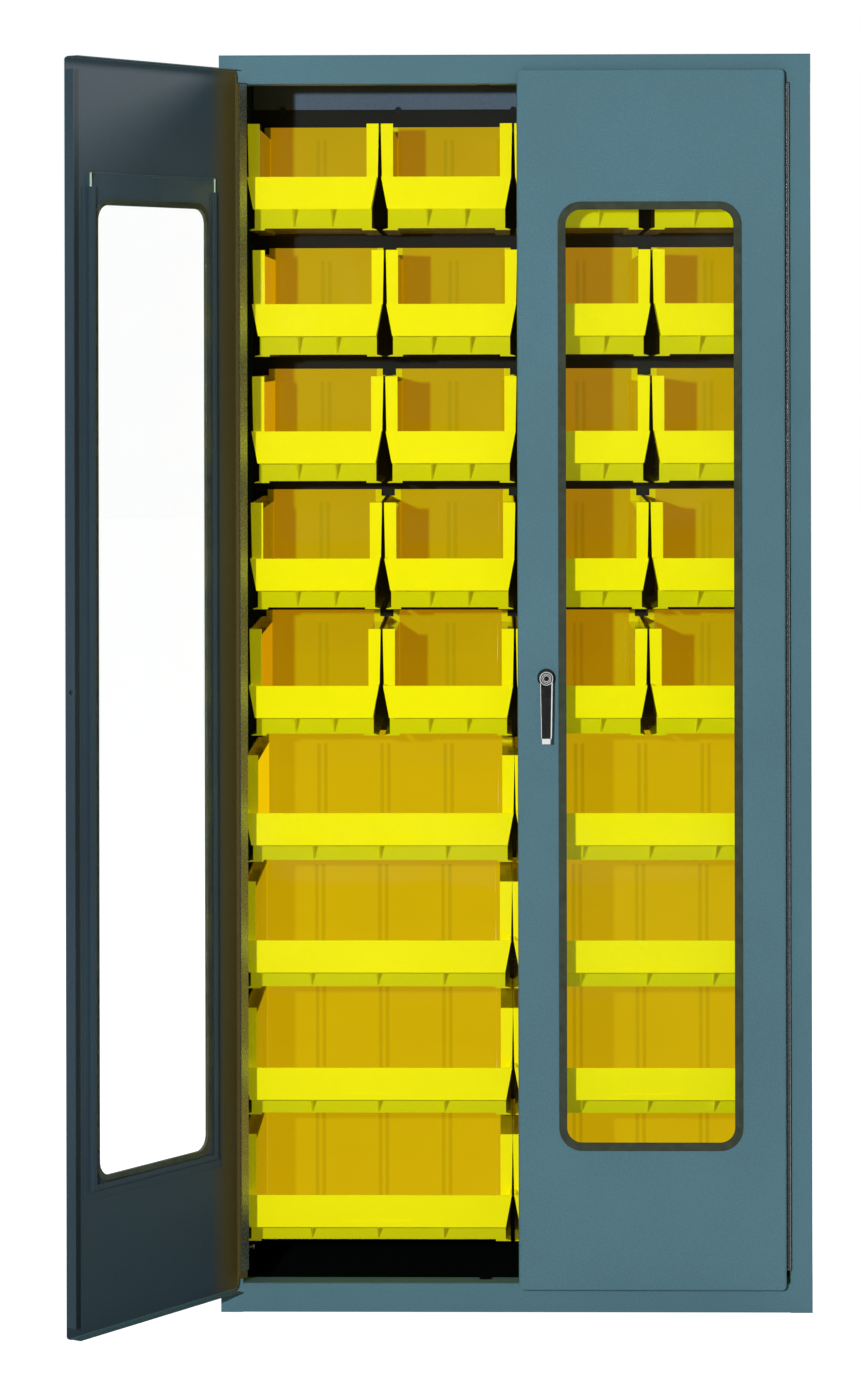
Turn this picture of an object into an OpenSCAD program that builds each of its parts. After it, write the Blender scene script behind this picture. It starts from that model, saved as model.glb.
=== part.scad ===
// Steel parts bin cabinet with clear-view doors and hanging hopper bins.
// Origin: centre of the base on the floor. X to the right, front towards -Y, Z up. Millimetres.
// The left door stands open at rest; the right door is shut.

/* [Case] */
// Width over the side panels
case_w = 914.4; // [900:1:1000]
// Depth from the front frame to the back
case_d = 457.2; // [452:1:620]
// Height from the floor to the top
case_h = 1945; // [1935:1:2100]
// Thickness of the case sheets
case_sheet = 1.5; // [1.2:0.1:2]
// Outer radius of the bends in the case sheets
case_bend = 2.5; // [2.2:0.1:3.5]
// Width of the frame's upright faces
jamb_w = 34; // [33:0.5:36]
// Height of the header above the doorway
header_h = 45; // [38:1:52]
// Height of the sill below the doorway
sill_h = 45; // [40:1:50]
// Depth of the frame's inward returns
return_d = 40; // [38:1:44]
// Height of the rail's ears above the sill
ear_h = 14; // [8:1:20]
// Height of the inner floor
floor_z = 20; // [12:1:30]
// Width of the turned-in feet of the base
foot_w = 24; // [15:1:34]

/* [Doors] */
// Height of the doors' lower edge above the floor
door_z = 38; // [30:1:42]
// Distance from the case's top down to the doors' upper edge
door_below = 24; // [20:1:30]
// Gap between the two doors when both are shut
door_split = 7; // [5:0.5:10]
// Thickness of the door pans
door_t = 19; // [16:0.5:24]
// Gap between a shut door and the frame
door_gap = 2; // [1.8:0.1:3]
// Thickness of the door sheets
door_sheet = 1.5; // [1.2:0.1:2]
// Outer radius of the bends in the door sheets
door_bend = 3; // [2.5:0.1:4]
// Corner radius of the doors
door_r = 11; // [6:1:16]
// Length of flange left out at each door corner
corner_relief = 20; // [14:1:30]
// Width of the return lip on the hinge side
door_lip = 18; // [17:0.5:24]

/* [Windows] */
// Distance from a door's free edge to its window
window_in = 75; // [75:0.5:80]
// Distance from a window to the door's hinge edge
window_out = 79.2; // [75:0.1:90]
// Distance from a door's lower edge up to its window
window_low = 228.5; // [224:0.5:260]
// Distance from a window to the door's upper edge
window_high = 217; // [205:0.5:260]
// Corner radius of a window's clear opening
window_r = 23; // [15:0.5:30]
// Width of the gasket seen from the front
gasket_w = 12.3; // [8:0.1:13]
// How far the gasket stands in front of the door
gasket_proud = 2.4; // [1.5:0.1:4]
// Thickness of the gasket's inner lip
gasket_lip = 1.8; // [1:0.1:2]
// Rubber between the cut sheet edge and the clear opening
gasket_core = 4.5; // [3:0.1:5]
// Thickness of the clear pane
pane_t = 4; // [3:0.1:5]
// How far a pane reaches beyond the clear opening at the sides
pane_side = 19; // [17:0.5:19]
// How far a pane reaches above the clear opening
pane_above = 47.5; // [30:0.5:60]
// How far a pane reaches below the clear opening
pane_below = 16.5; // [15:0.5:18]
// How far the pane stands out of the top of its track
pane_out = 21; // [10:0.5:28]
// Thickness of the pane track's sheet
track_t = 1.2; // [1:0.1:1.5]
// Width of the track's lip behind the pane
track_lip = 8.5; // [6:0.5:9]
// Width of the track's spot-welded flange
track_flange = 14; // [10:0.5:14]

/* [Hinges] */
// Outer radius of the hinge barrel
hinge_r = 3.2; // [3:0.1:3.3]
// Diameter of the hinge pin
pin_d = 3.1; // [2.8:0.1:3.2]
// Radial clearance of the pin in the knuckles
pin_clear = 0.05; // [0.03:0.01:0.08]
// Thickness of the hinge leaves
leaf_t = 1.3; // [1:0.1:1.4]
// Reach of the frame leaf along the jamb
leaf_reach = 22; // [15:1:26]
// Gap between neighbouring knuckles
knuckle_gap = 0.4; // [0.3:0.1:0.6]
// Number of knuckles on each hinge
knuckles = 72; // [48:2:72]
// Height of the lower end of the hinges
hinge_z = 70; // [62:1:90]

/* [Latch] */
// Distance of the handle's axis from the door's free edge
handle_in = 44; // [42:0.5:44]
// Height of the handle's axis
handle_z = 983; // [900:1:1050]
// Length of the lever below its axis
lever_l = 101; // [80:1:120]
// Width of the lever at its end
lever_end_w = 16.5; // [13:0.5:20]
// Radius of the lever's hub
hub_r = 11; // [10:0.5:13]
// Depth of the lever's hub
hub_d = 17; // [15:0.5:22]
// Radius of the black ring around the hub
ring_r = 14; // [13:0.5:16]
// Radius at which the cam's pins sit
cam_pin_r = 20; // [19.5:0.5:22]
// Width of the lock rods
rod_w = 12; // [10:0.5:13]
// Thickness of the lock rods
rod_t = 5; // [4:0.5:6]
// Distance from the front frame to the rods
rod_back = 30; // [29:0.5:31]
// Gap between a drawn rod and the frame
rod_gap = 7; // [5:0.5:9]
// Distance of the middle rod guides from the handle's axis
guide_out = 310; // [200:5:400]
// Distance of the outer rod guides from the rods' ends
guide_end = 90; // [60:5:150]

/* [Bins] */
// Distance from the front frame back to the bins' lips
bins_front = 56.4; // [50:0.1:90]
// Height of the lowest bins' feet
bins_z = 87.7; // [80:0.1:92]
// Distance from the seam above the louver panel down to the highest bins
above_bins = 29.7; // [27:0.1:34]
// Height left free above each bin
bin_above = 20.65; // [18:0.05:26]
// Sideways room left by four small bins in half the doorway
small_margin = 4.1; // [3:0.1:8]
// Gap between neighbouring small bins
small_gap = 3.55; // [2:0.05:10]
// Sideways room left by a wide bin in half the doorway
wide_margin = 0.6; // [0.5:0.1:4]
// Gap between neighbouring wide bins
wide_gap = 0.6; // [0.5:0.1:6]
// Thickness of a bin's walls
bin_wall = 2.5; // [2:0.1:3]
// Height of a bin's back above its side rims
rim_drop = 10.5; // [8:0.5:14]
// Height of the rim above its stacking ledge
rim_up = 9; // [6:0.5:12]
// Height of the lip's lower edge
lip_low = 32; // [26:0.5:38]
// Height of the lip's upper edge
lip_high = 82; // [70:0.5:95]
// How far the lip's lower corners stand in from the rim
lip_in = 11; // [8:0.5:13]
// How far the lip's upper corners stand in from the rim
lip_lean = 1.6; // [0.5:0.1:3]
// Distance from the lip back to the front posts
post_in = 50; // [40:0.5:65]
// Width of a front post
post_w = 19; // [16:0.5:22]
// Radius of the tub's upright corners
tub_r = 7; // [4:0.5:9]
// Height of the stacking feet
bin_foot = 3; // [2:0.5:4]
// Width of the label recess
label_w = 95; // [70:1:110]
// Height of the label recess
label_h = 41; // [25:1:45]

/* [Louver panel] */
// Height of a louver tongue
tongue_rise = 16; // [14:0.5:17]
// Reach of a louver tongue
tongue_out = 10; // [9:0.5:10.5]
// Width of a louver tongue
tongue_w = 170; // [140:1:176]
// Thickness of the louver panel
panel_t = 1.5; // [1.2:0.1:2]
// Distance from the louver panel's face to the case's back
panel_gap = 25.2; // [20:0.1:32]
// Height of the plain strip above the louver panel
strip_h = 60.4; // [52:0.1:64]
// Height of the louver panel's lower edge
panel_z = 70; // [64:1:74]
// Distance from the panel's side edge to its outer screws
screw_in = 49; // [40:1:60]

/* [Hidden] */
$fn = 48;
// Angle at which the left door is drawn
left_open = 124;
// Louver rows per bin row
louvers_per_bin = 5;
// How far each row of bins hangs out of the middle
ROW_SHIFT = [-1.6, 5.9, 4.7, 2.3, -0.2, -1.2, -5.3, -4.3, -5.1];
// Width of the side panels' rear flanges
rear_flange_w = 24;
SMALL_ROWS = 5;
WIDE_ROWS = 4;
ROWS = SMALL_ROWS + WIDE_ROWS;
SMALL_BINS = [for (r = [1:SMALL_ROWS]) for (c = [1:4]) [str("small_bin_r", r, "_c", c), r, c]];
WIDE_BINS = [for (r = [SMALL_ROWS + 1:ROWS]) for (c = [1:2]) [str("wide_bin_r", r, "_c", c), r, c]];

// Colours
C_STEEL = [0.36, 0.48, 0.52];
C_DARK = [0.25, 0.33, 0.38];
C_BIN = [0.98, 0.93, 0.08];
C_RUBBER = [0.20, 0.21, 0.20];
C_PANE = [0.80, 0.92, 0.88, 0.4];
C_CHROME = [0.78, 0.79, 0.80];
C_BLACK = [0.06, 0.06, 0.06];
C_ZINC = [0.62, 0.64, 0.66];

// Planes of the case
front_y = -case_d / 2;
back_y = case_d / 2;
half_w = case_w / 2;
inner_w = half_w - case_sheet;
header_z = case_h - header_h;
jamb_x = half_w - jamb_w;
hinge_x = jamb_x - hinge_r;

// Planes of a shut door
door_back_y = front_y - door_gap;
door_front_y = door_back_y - door_t;
skin_back_y = door_front_y + door_sheet;
hinge_y = (front_y + door_front_y) / 2;
free_x = door_split / 2;
pan_clear = 0.6;
pan_x = hinge_x - hinge_r - pan_clear;
door_w = pan_x - free_x;
door_top = case_h - door_below;
door_h = door_top - door_z;

// Window, pane and track of a shut right door
win_x0 = free_x + window_in;
win_x1 = pan_x - window_out;
window_z = door_z + window_low;
win_z1 = door_top - window_high;
pane_x0 = win_x0 - pane_side;
pane_x1 = win_x1 + pane_side;
pane_z0 = window_z - pane_below;
pane_z1 = win_z1 + pane_above;
pane_slack = 0.3;
pane_y = skin_back_y + gasket_lip;
track_x0 = pane_x0 - pane_slack - track_t;
track_x1 = pane_x1 + pane_slack + track_t;
track_z0 = pane_z0 - track_t;
track_z1 = pane_z1 - pane_out;
track_y1 = pane_y + pane_t + pane_slack + track_t;

// Hinge
hinge_l = header_z - 1.2 - hinge_z;
knuckle_l = hinge_l / knuckles;
bore_r = pin_d / 2 + pin_clear;
barrel_clear = 0.8;
lip_back = door_back_y - hinge_y;

// Latch
handle_x = free_x + handle_in;
ring_t = 3;
ring_bore_r = 5.5;
turn_clear = 0.05;
spindle_w = 7;
barrel_out_r = 7;
nut_t = 5;
nut_r = 10;
cam_t = 3;
cam_y = door_back_y + 1.5;
cam_pin_d = 6;
cam_post_d = 10;
rod_y = front_y + rod_back;
slot_clear = 0.9;
cam_swing = 45;
throw = 2 * cam_pin_r * sin(cam_swing);
cam_near = cam_pin_r * cos(cam_swing);
rod_offset = (cam_pin_r + cam_near) / 2;
guide_t = 1.5;
guide_h = 18;
guide_clear = 0.6;
upper_top = header_z - rod_gap;
lower_end = sill_h + rod_gap;
GUIDE_Z = [handle_z + guide_out, upper_top - guide_end, handle_z - guide_out, lower_end + guide_end];
notch_w = 19.5;
notch_y = rod_y - 3;
plug_r = 5.5;

// Louver panel and hooks
panel_y = back_y - panel_gap;
panel_w = 2 * (inner_w - rear_flange_w - 2.7);
seam_z = case_h - strip_h;
row_pitch = (seam_z - above_bins + bin_above - bins_z) / ROWS;
louver_pitch = row_pitch / louvers_per_bin;
bin_h = row_pitch - bin_above;
rim_z = bin_h - rim_drop;
bin_pitch = (jamb_x - small_margin) / 2;
small_w = bin_pitch - small_gap;
wide_pitch = jamb_x - wide_margin;
wide_w = wide_pitch - wide_gap;
tongue_l = sqrt(pow(tongue_out, 2) + pow(tongue_rise, 2));
along = [-tongue_out / tongue_l, tongue_rise / tongue_l];
across = [along[1], -along[0]];
hook_clear = 0.6;
hook_t = 2.2;
hook_top = 5.5;
tongue_base = bin_h - tongue_rise - hook_top;
back_clear = 0.8;
louver_top_z = bins_z + (ROWS - 1) * row_pitch + tongue_base;
louver_rows = floor((louver_top_z - panel_z - 20) / louver_pitch) + 1;
bin_y = front_y + bins_front;
bin_l = panel_y - hook_clear - bin_y;
bin_back = bin_l + hook_clear - tongue_out - back_clear;
screw_pitch = (panel_w / 2 - screw_in) / 2;
SCREW_X = [for (k = [-2:2]) k * screw_pitch];
screw_low_z = panel_z + 12;
screw_d = 5;
screw_head_r = 5;
screw_head_t = 3;

// ---------- helpers ----------

// Plate with its outline in the XZ plane, from y to y + t
module front_plate(y, t) {
    translate([0, y + t, 0])
        rotate([90, 0, 0])
            linear_extrude(t)
                children();
}

// Bar with its section in the YZ plane, from x to x + w
module cross_bar(x, w) {
    translate([x, 0, 0])
        rotate([90, 0, 90])
            linear_extrude(w)
                children();
}

// Box between two corners
module block(a, b) {
    translate(a)
        cube(b - a);
}

// Rectangle between two corners
module panel2d(a, b) {
    translate(a)
        square(b - a);
}

// Rectangle between two corners with round corners
module round_rect(a, b, r) {
    panel2d([a[0] + r, a[1]], [b[0] - r, b[1]]);
    panel2d([a[0], a[1] + r], [b[0], b[1] - r]);
    for (x = [a[0] + r, b[0] - r])
        for (z = [a[1] + r, b[1] - r])
            translate([x, z])
                circle(r);
}

// Rectangle between two corners, with its two corners at the low end of Y round
module bent_front(a, b, r) {
    panel2d([a[0] + r, a[1]], [b[0] - r, b[1]]);
    panel2d([a[0], a[1] + r], b);
    for (x = [a[0] + r, b[0] - r])
        translate([x, a[1] + r])
            circle(r);
}

// Section of a folded sheet: the path is its outer face, with the sheet on its left and left turns
module folded(path, t, r) {
    n = len(path);
    way = [for (i = [0:n - 2]) (path[i + 1] - path[i]) / norm(path[i + 1] - path[i])];
    for (i = [0:n - 2]) {
        a = path[i] + (i > 0 ? r : 0) * way[i];
        b = path[i + 1] - (i < n - 2 ? r : 0) * way[i];
        side = t * [-way[i][1], way[i][0]];
        polygon([a, b, b + side, a + side]);
    }
    for (i = [1:n - 2]) {
        start = path[i] - r * way[i - 1];
        centre = start + r * way[i];
        intersection() {
            translate(centre)
                difference() {
                    circle(r);
                    circle(r - t);
                }
            polygon([centre, start, path[i], path[i] + r * way[i]]);
        }
    }
}

// Cylinder along Y from y0 to y1
module y_rod(x, z, r, y0, y1) {
    translate([x, y1, z])
        rotate([90, 0, 0])
            cylinder(h = y1 - y0, r = r);
}

// The shut right door's place, for both doors
module as_right() {
    children();
}

module as_left() {
    translate([-hinge_x, hinge_y, 0])
        rotate([0, 0, -left_open])
            translate([hinge_x, -hinge_y, 0])
                mirror([1, 0, 0])
                    children();
}

// ---------- case ----------

// Side wall, jamb face, jamb return with its hem and rear flange in one folded sheet, as on the right
module side_sheet() {
    hem = 12;
    wall_top = case_h - case_sheet;
    wall_y = front_y + case_sheet;
    face_low = sill_h + ear_h;
    return_y = front_y + return_d;
    hem_path = [[jamb_x + hem, return_y], [jamb_x, return_y]];
    flange_x = inner_w - rear_flange_w;
    flange_y = back_y - 2 * case_sheet;
    color(C_STEEL)
        union() {
            translate([0, 0, face_low])
                linear_extrude(header_z - face_low) {
                    folded(concat(hem_path, [[jamb_x, front_y], [half_w, front_y], [half_w, back_y]]),
                           case_sheet, case_bend);
                    panel2d([flange_x, flange_y], [inner_w, flange_y + case_sheet]);
                }
            translate([0, 0, sill_h])
                linear_extrude(ear_h)
                    folded(concat(hem_path, [[jamb_x, wall_y]]), case_sheet, case_bend);
            block([inner_w, wall_y, 0], [half_w, back_y, face_low]);
            // the wall beside the header keeps clear of the header's upper bend
            cross_bar(inner_w, case_sheet)
                polygon([[wall_y, header_z], [back_y, header_z], [back_y, wall_top],
                         [front_y + case_bend, wall_top], [wall_y, case_h - case_bend]]);
            for (z = [[floor_z, face_low], [header_z, wall_top]])
                block([flange_x, flange_y, z[0]], [inner_w, flange_y + case_sheet, z[1]]);
        }
}

module right_side_panel() {
    side_sheet();
}

module left_side_panel() {
    mirror([1, 0, 0])
        side_sheet();
}

// Notches in the frame returns that the lock rods enter
module rod_notches(z0, z1) {
    for (x = [-handle_x, handle_x])
        block([x - notch_w / 2, notch_y, z0],
              [x + notch_w / 2, front_y + return_d + case_sheet + 1, z1]);
}

module top_panel() {
    face_path = [[back_y, case_h], [front_y, case_h], [front_y, header_z]];
    color(C_STEEL)
        difference() {
            union() {
                cross_bar(-jamb_x, 2 * jamb_x)
                    folded(concat(face_path, [[front_y + return_d, header_z]]), case_sheet, case_bend);
                for (x = [-half_w, jamb_x])
                    cross_bar(x, jamb_w)
                        folded(face_path, case_sheet, case_bend);
                for (x = [-inner_w, jamb_x])
                    cross_bar(x, jamb_w - case_sheet)
                        panel2d([front_y, header_z], [front_y + return_d, header_z + case_sheet]);
            }
            rod_notches(header_z - 1, header_z + case_sheet + 1);
        }
}

module bottom_panel() {
    pan_front = front_y + return_d;
    color(C_STEEL)
        difference() {
            union() {
                // sill between the jambs, and its square ends with the ears below them
                cross_bar(-jamb_x, 2 * jamb_x)
                    folded([[pan_front, sill_h], [front_y, sill_h], [front_y, 0], [front_y + foot_w, 0]],
                           case_sheet, case_bend);
                for (x = [-half_w, jamb_x])
                    cross_bar(x, jamb_w)
                        panel2d([front_y, 0], [front_y + case_sheet, sill_h + ear_h]);
                for (x = [-inner_w, jamb_x])
                    cross_bar(x, jamb_w - case_sheet) {
                        panel2d([front_y, sill_h - case_sheet], [pan_front, sill_h]);
                        panel2d([front_y, 0], [front_y + foot_w, case_sheet]);
                    }
                // inner floor with its front step, and the feet at the sides
                block([-inner_w, pan_front, floor_z - case_sheet],
                      [inner_w, pan_front + case_sheet, sill_h]);
                block([-inner_w, pan_front, floor_z - case_sheet],
                      [inner_w, back_y - case_sheet, floor_z]);
                for (x = [-inner_w, inner_w - foot_w])
                    block([x, front_y + case_sheet, 0], [x + foot_w, back_y - case_sheet, case_sheet]);
            }
            rod_notches(sill_h - 14, sill_h + 1);
        }
}

module back_panel() {
    color(C_DARK)
        difference() {
            block([-inner_w, back_y - case_sheet, 0], [inner_w, back_y, case_h - case_sheet]);
            screw_holes();
        }
}

// Holes for the panel screws, through the panels and the back
module screw_holes() {
    for (x = SCREW_X)
        for (z = [seam_z, screw_low_z])
            y_rod(x, z, screw_d / 2 + 0.1, panel_y - 5, back_y + 5);
}

module panel_screws() {
    color(C_BLACK)
        for (x = SCREW_X)
            for (z = [seam_z, screw_low_z])
                difference() {
                    union() {
                        y_rod(x, z, screw_d / 2, panel_y - 1, back_y);
                        y_rod(x, z, screw_head_r, panel_y - screw_head_t, panel_y);
                    }
                    translate([x, panel_y - 1, z])
                        rotate([90, 0, 0])
                            cylinder(h = screw_head_t, r = 2.2, $fn = 6);
                }
}

// Sheet between the louver panel and the top, flush with the louver panel
module upper_back_strip() {
    top_z = case_h - case_sheet;
    low_z = seam_z + 0.3;
    rear_y = back_y - case_sheet;
    color(C_DARK)
        difference() {
            union() {
                block([-panel_w / 2, panel_y, low_z], [panel_w / 2, panel_y + panel_t, top_z]);
                block([-panel_w / 2, panel_y, low_z], [panel_w / 2, rear_y, low_z + panel_t]);
            }
            screw_holes();
        }
}

// Section of one louver tongue, in Y and Z from its base on the panel's face
function tongue_outline() = [
    [0, 0],
    along * tongue_l,
    along * tongue_l + across * panel_t,
    across * panel_t];

module louver_panel() {
    rear_y = back_y - case_sheet;
    top_z = seam_z - 0.3;
    slot_h = tongue_rise + 1;
    color(C_DARK)
        difference() {
            union() {
                difference() {
                    block([-panel_w / 2, panel_y, panel_z], [panel_w / 2, panel_y + panel_t, top_z]);
                    for (c = [0:3])
                        for (k = [0:louver_rows - 1])
                            translate([(c - 1.5) * bin_pitch - tongue_w / 2, panel_y - 1,
                                       louver_top_z - k * louver_pitch + panel_t * 1.3])
                                cube([tongue_w, panel_t + 2, slot_h]);
                }
                for (c = [0:3])
                    for (k = [0:louver_rows - 1])
                        translate([0, panel_y, louver_top_z - k * louver_pitch])
                            cross_bar((c - 1.5) * bin_pitch - tongue_w / 2, tongue_w)
                                polygon(tongue_outline());
                for (side = [-1, 1])
                    translate([side * (panel_w - panel_t) / 2 - panel_t / 2, panel_y, panel_z])
                        cube([panel_t, rear_y - panel_y, top_z - panel_z]);
                block([-panel_w / 2, panel_y, top_z - panel_t], [panel_w / 2, rear_y, top_z]);
                block([-panel_w / 2, panel_y, panel_z], [panel_w / 2, rear_y, panel_z + panel_t]);
            }
            screw_holes();
        }
}

// Round-headed pins that stick out of the jambs near the sill
module jamb_pins() {
    pin_z = 94.6;
    pin_l = 14;
    pin_y = front_y + leaf_reach + 8;
    color(C_ZINC)
        for (side = [0, 1])
            mirror([side, 0, 0])
                translate([jamb_x, pin_y, pin_z])
                    rotate([0, -90, 0]) {
                        cylinder(h = pin_l, d = 4);
                        translate([0, 0, pin_l - 1])
                            cylinder(h = 3, d = 6.5);
                    }
}

// ---------- hinges, in the place of the shut right door ----------

// Knuckles of one leaf: first is 0 for the frame's and 1 for the door's
module knuckle_row(first, web_x) {
    for (k = [first:2:knuckles - 1])
        translate([0, 0, k * knuckle_l + knuckle_gap / 2])
            linear_extrude(knuckle_l - knuckle_gap)
                union() {
                    circle(hinge_r);
                    translate([web_x, 0])
                        square([leaf_t, hinge_r + barrel_clear + 0.5]);
                }
}

module frame_leaf() {
    color(C_STEEL)
        translate([hinge_x, hinge_y, hinge_z])
            difference() {
                union() {
                    knuckle_row(0, hinge_r - leaf_t);
                    block([hinge_r - leaf_t, hinge_r + barrel_clear, 0],
                          [hinge_r, front_y + leaf_reach - hinge_y, hinge_l]);
                }
                translate([0, 0, -1])
                    cylinder(h = hinge_l + 2, r = bore_r);
            }
}

module door_leaf() {
    color(C_STEEL)
        translate([hinge_x, hinge_y, hinge_z])
            difference() {
                union() {
                    knuckle_row(1, -hinge_r);
                    block([-hinge_r, hinge_r + barrel_clear, 0],
                          [leaf_t - hinge_r, lip_back + leaf_t, hinge_l]);
                    block([pan_x - door_lip + 2 - hinge_x, lip_back, 0],
                          [leaf_t - hinge_r, lip_back + leaf_t, hinge_l]);
                }
                translate([0, 0, -1])
                    cylinder(h = hinge_l + 2, r = bore_r);
            }
}

module hinge_pin() {
    color(C_ZINC)
        translate([hinge_x, hinge_y, hinge_z]) {
            translate([0, 0, -1])
                cylinder(h = hinge_l + 2, d = pin_d);
            for (z = [-2, hinge_l + 1])
                translate([0, 0, z])
                    cylinder(h = 1, r = hinge_r - 0.4);
        }
}

module right_hinge_frame_leaf() {
    frame_leaf();
}

module right_hinge_pin() {
    hinge_pin();
}

module right_hinge_door_leaf() {
    door_leaf();
}

module left_hinge_frame_leaf() {
    mirror([1, 0, 0])
        frame_leaf();
}

module left_hinge_pin() {
    mirror([1, 0, 0])
        hinge_pin();
}

module left_hinge_door_leaf() {
    as_left()
        door_leaf();
}

// ---------- doors, in the place of the shut right door ----------

// Outline of the window with some more all round
module window_outline(more) {
    round_rect([win_x0 - more, window_z - more], [win_x1 + more, win_z1 + more], window_r + more);
}

// The door as a closed body with bent front edges, smaller by less all round and ending at back
module door_block(less, back) {
    x = [free_x + less, pan_x - less];
    z = [door_z + less, door_top - less];
    front = door_front_y + less;
    bend = door_bend - less;
    intersection() {
        front_plate(front, back - front)
            round_rect([x[0], z[0]], [x[1], z[1]], door_r - less);
        translate([0, 0, door_z])
            linear_extrude(door_h)
                bent_front([x[0], front], [x[1], back], bend);
        cross_bar(free_x, door_w)
            mirror([1, -1, 0])
                bent_front([z[0], front], [z[1], back], bend);
    }
}

// Folded door sheet: skin, four flanges with relieved corners and a lip on the hinge side
module door_sheet_metal() {
    relief_y = door_front_y + door_bend;
    difference() {
        door_block(0, door_back_y);
        door_block(door_sheet, door_back_y - door_sheet);
        block([free_x + door_sheet, door_back_y - door_sheet - 1, door_z + door_sheet],
              [pan_x - door_lip, door_back_y + 1, door_top - door_sheet]);
        for (z = [door_z - 1, door_top - corner_relief]) {
            block([free_x - 1, relief_y, z],
                  [free_x + door_r, door_back_y + 1, z + corner_relief + 1]);
            block([pan_x - door_lip - 1, relief_y, z],
                  [pan_x + 1, door_back_y + 1, z + corner_relief + 1]);
        }
        front_plate(door_front_y - 1, door_sheet + 2)
            window_outline(gasket_core);
        // the lock hole or, on the other door, the round hole in its edge
        children();
    }
}

module right_door_pan() {
    color(C_STEEL)
        door_sheet_metal()
            y_rod(handle_x, handle_z, barrel_out_r + 0.1, door_front_y - 1, skin_back_y + 1);
}

module left_door_pan() {
    edge_hole_d = 8;
    color(C_STEEL)
        as_left()
            door_sheet_metal()
                translate([free_x - 1, door_back_y - edge_hole_d / 2 - 3, handle_z + 5])
                    rotate([0, 90, 0])
                        cylinder(h = door_sheet + 2, d = edge_hole_d);
}

// Gasket: front bead, core in the cut edge and inner lip
module gasket() {
    inner_lip_w = gasket_w - 2.3;
    color(C_RUBBER)
        union() {
            front_plate(door_front_y - gasket_proud, gasket_proud)
                difference() {
                    window_outline(gasket_w);
                    window_outline(0);
                }
            front_plate(door_front_y, door_sheet)
                difference() {
                    window_outline(gasket_core);
                    window_outline(0);
                }
            front_plate(skin_back_y, gasket_lip)
                difference() {
                    window_outline(inner_lip_w);
                    window_outline(0);
                }
        }
}

module pane() {
    color(C_PANE)
        front_plate(pane_y, pane_t)
            round_rect([pane_x0, pane_z0], [pane_x1, pane_z1], 2);
}

// U-shaped track around the sides and the foot of the pane, open at the top
module track_ring(outer, inner) {
    difference() {
        panel2d([track_x0 - outer, track_z0 - outer], [track_x1 + outer, track_z1]);
        panel2d([track_x0 + inner, track_z0 + inner], [track_x1 - inner, track_z1 + 1]);
    }
}

module pane_track() {
    union() {
        front_plate(skin_back_y, track_t)
            track_ring(track_flange, track_t);
        front_plate(skin_back_y, track_y1 - skin_back_y)
            track_ring(0, track_t);
        front_plate(track_y1 - track_t, track_t)
            track_ring(0, track_lip);
    }
}

module left_pane_track() {
    color(C_DARK)
        as_left()
            pane_track();
}

// The right track's flange gives way to the lock nut and the rod guides
module right_pane_track() {
    nut_room = nut_r + 3;
    guide_room = guide_h / 2 + 3;
    flange_x = track_x0 - track_flange - 1;
    color(C_DARK)
        difference() {
            pane_track();
            block([flange_x, skin_back_y - 1, handle_z - nut_room],
                  [track_x0, skin_back_y + track_t + 1, handle_z + nut_room]);
            for (z = GUIDE_Z)
                block([flange_x, skin_back_y - 1, z - guide_room],
                      [track_x0, skin_back_y + track_t + 1, z + guide_room]);
        }
}

module left_pane() {
    as_left()
        pane();
}

module right_pane() {
    pane();
}

module left_gasket() {
    as_left()
        gasket();
}

module right_gasket() {
    gasket();
}

// ---------- handle and three-point latch ----------

// Black ring in front of the skin with its threaded barrel through it
module handle_ring() {
    color(C_BLACK)
        difference() {
            union() {
                y_rod(handle_x, handle_z, ring_r, door_front_y - ring_t, door_front_y);
                y_rod(handle_x, handle_z, barrel_out_r, door_front_y, skin_back_y + nut_t + 2);
            }
            y_rod(handle_x, handle_z, ring_bore_r, door_front_y - ring_t - 1, skin_back_y + nut_t + 3);
        }
}

module handle_nut() {
    color(C_ZINC)
        difference() {
            translate([handle_x, skin_back_y + nut_t, handle_z])
                rotate([90, 0, 0])
                    cylinder(h = nut_t, r = nut_r, $fn = 6);
            y_rod(handle_x, handle_z, barrel_out_r, skin_back_y - 1, skin_back_y + nut_t + 1);
        }
}

// Outline of the lever: round hub running into a tapered arm, around the handle's axis
module lever_outline(less) {
    arm_top_w = 0.93 * hub_r;
    arm_end = less - lever_l;
    end_half = lever_end_w / 2 - less;
    circle(hub_r - less);
    polygon([[-arm_top_w + less, 0], [arm_top_w - less, 0], [end_half, arm_end], [-end_half, arm_end]]);
}

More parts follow.
